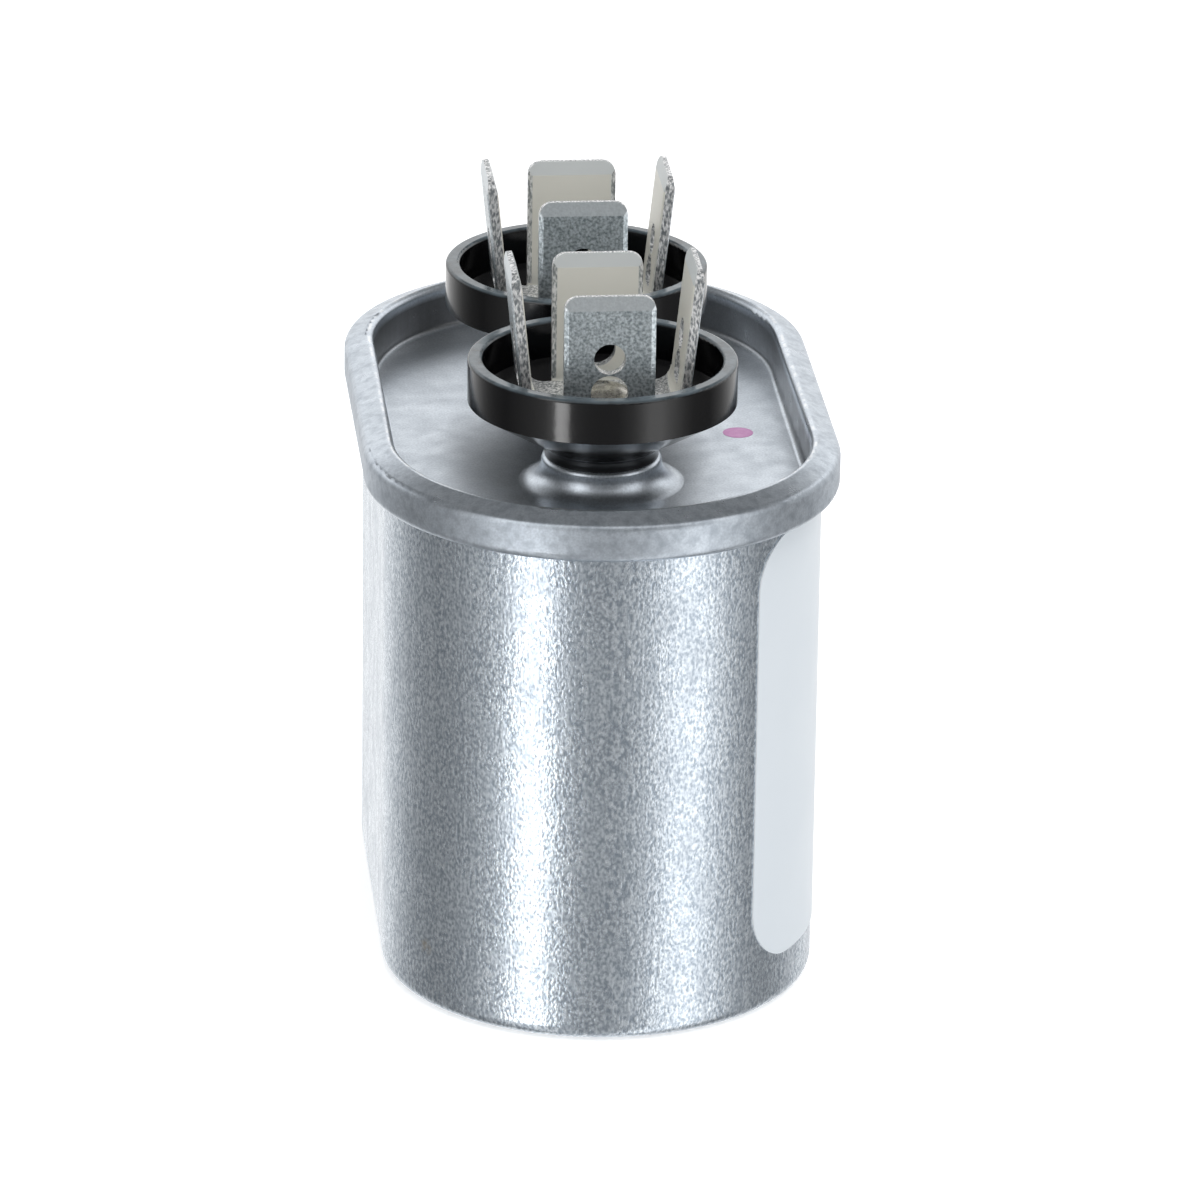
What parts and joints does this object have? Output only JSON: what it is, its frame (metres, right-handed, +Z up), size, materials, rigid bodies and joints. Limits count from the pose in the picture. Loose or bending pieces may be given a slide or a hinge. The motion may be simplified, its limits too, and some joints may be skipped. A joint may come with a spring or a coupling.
{
  "type": "motor run capacitor",
  "caption": "Oval metal-can motor run capacitor with a double-seamed cover and two black terminal cups of crossed quick-connect blades.",
  "frame": {"origin": "centre of the can's flat base", "axes": "+Z up out of the terminals, Y along the long side of the oval with one terminal at each end, X across the narrow side with the label towards +X"},
  "size_m": [0.0334, 0.0548, 0.0522],
  "materials": {
    "can_aluminium": "bright drawn aluminium with a fine mottled grain",
    "cover_aluminium": "satin rolled aluminium",
    "sealing_compound": "dull rubbery compound",
    "label_film": "smooth pale bluish white film, bare",
    "cup_plastic": "glossy black moulded plastic",
    "gasket_rubber": "matt black rubber",
    "washer_phenolic": "brown phenolic",
    "rivet_steel": "tin-plated steel",
    "blade_tinned": "tin-plated brass, mottled outside and smooth inside, coined edges",
    "plate_phenolic": "brown phenolic sheet",
    "lead_copper": "tinned copper strip",
    "sleeve_film": "cloudy polypropylene",
    "winding_film": "metallised polypropylene film, wound",
    "core_plastic": "plain polypropylene tube, flattened",
    "spray_zinc": "rough sprayed zinc",
    "spacer_plastic": "plain moulded polypropylene"
  },
  "bodies": {
    "root": {"can": "can_aluminium", "cover": "cover_aluminium", "seam_compound": "sealing_compound", "label": "label_film", "front_cup": "cup_plastic", "rear_cup": "cup_plastic", "front_gasket": "gasket_rubber", "rear_gasket": "gasket_rubber", "front_washer": "washer_phenolic", "rear_washer": "washer_phenolic", "front_rivet": "rivet_steel", "rear_rivet": "rivet_steel", "front_lower_strap": "blade_tinned", "rear_lower_strap": "blade_tinned", "front_upper_strap": "blade_tinned", "rear_upper_strap": "blade_tinned", "interrupter_plate": "plate_phenolic", "front_lead": "lead_copper", "rear_lead": "lead_copper", "insulating_sleeve": "sleeve_film", "film_winding": "winding_film", "winding_core": "core_plastic", "upper_end_spray": "spray_zinc", "lower_end_spray": "spray_zinc", "bottom_spacer": "spacer_plastic"}
  },
  "joints": []
}
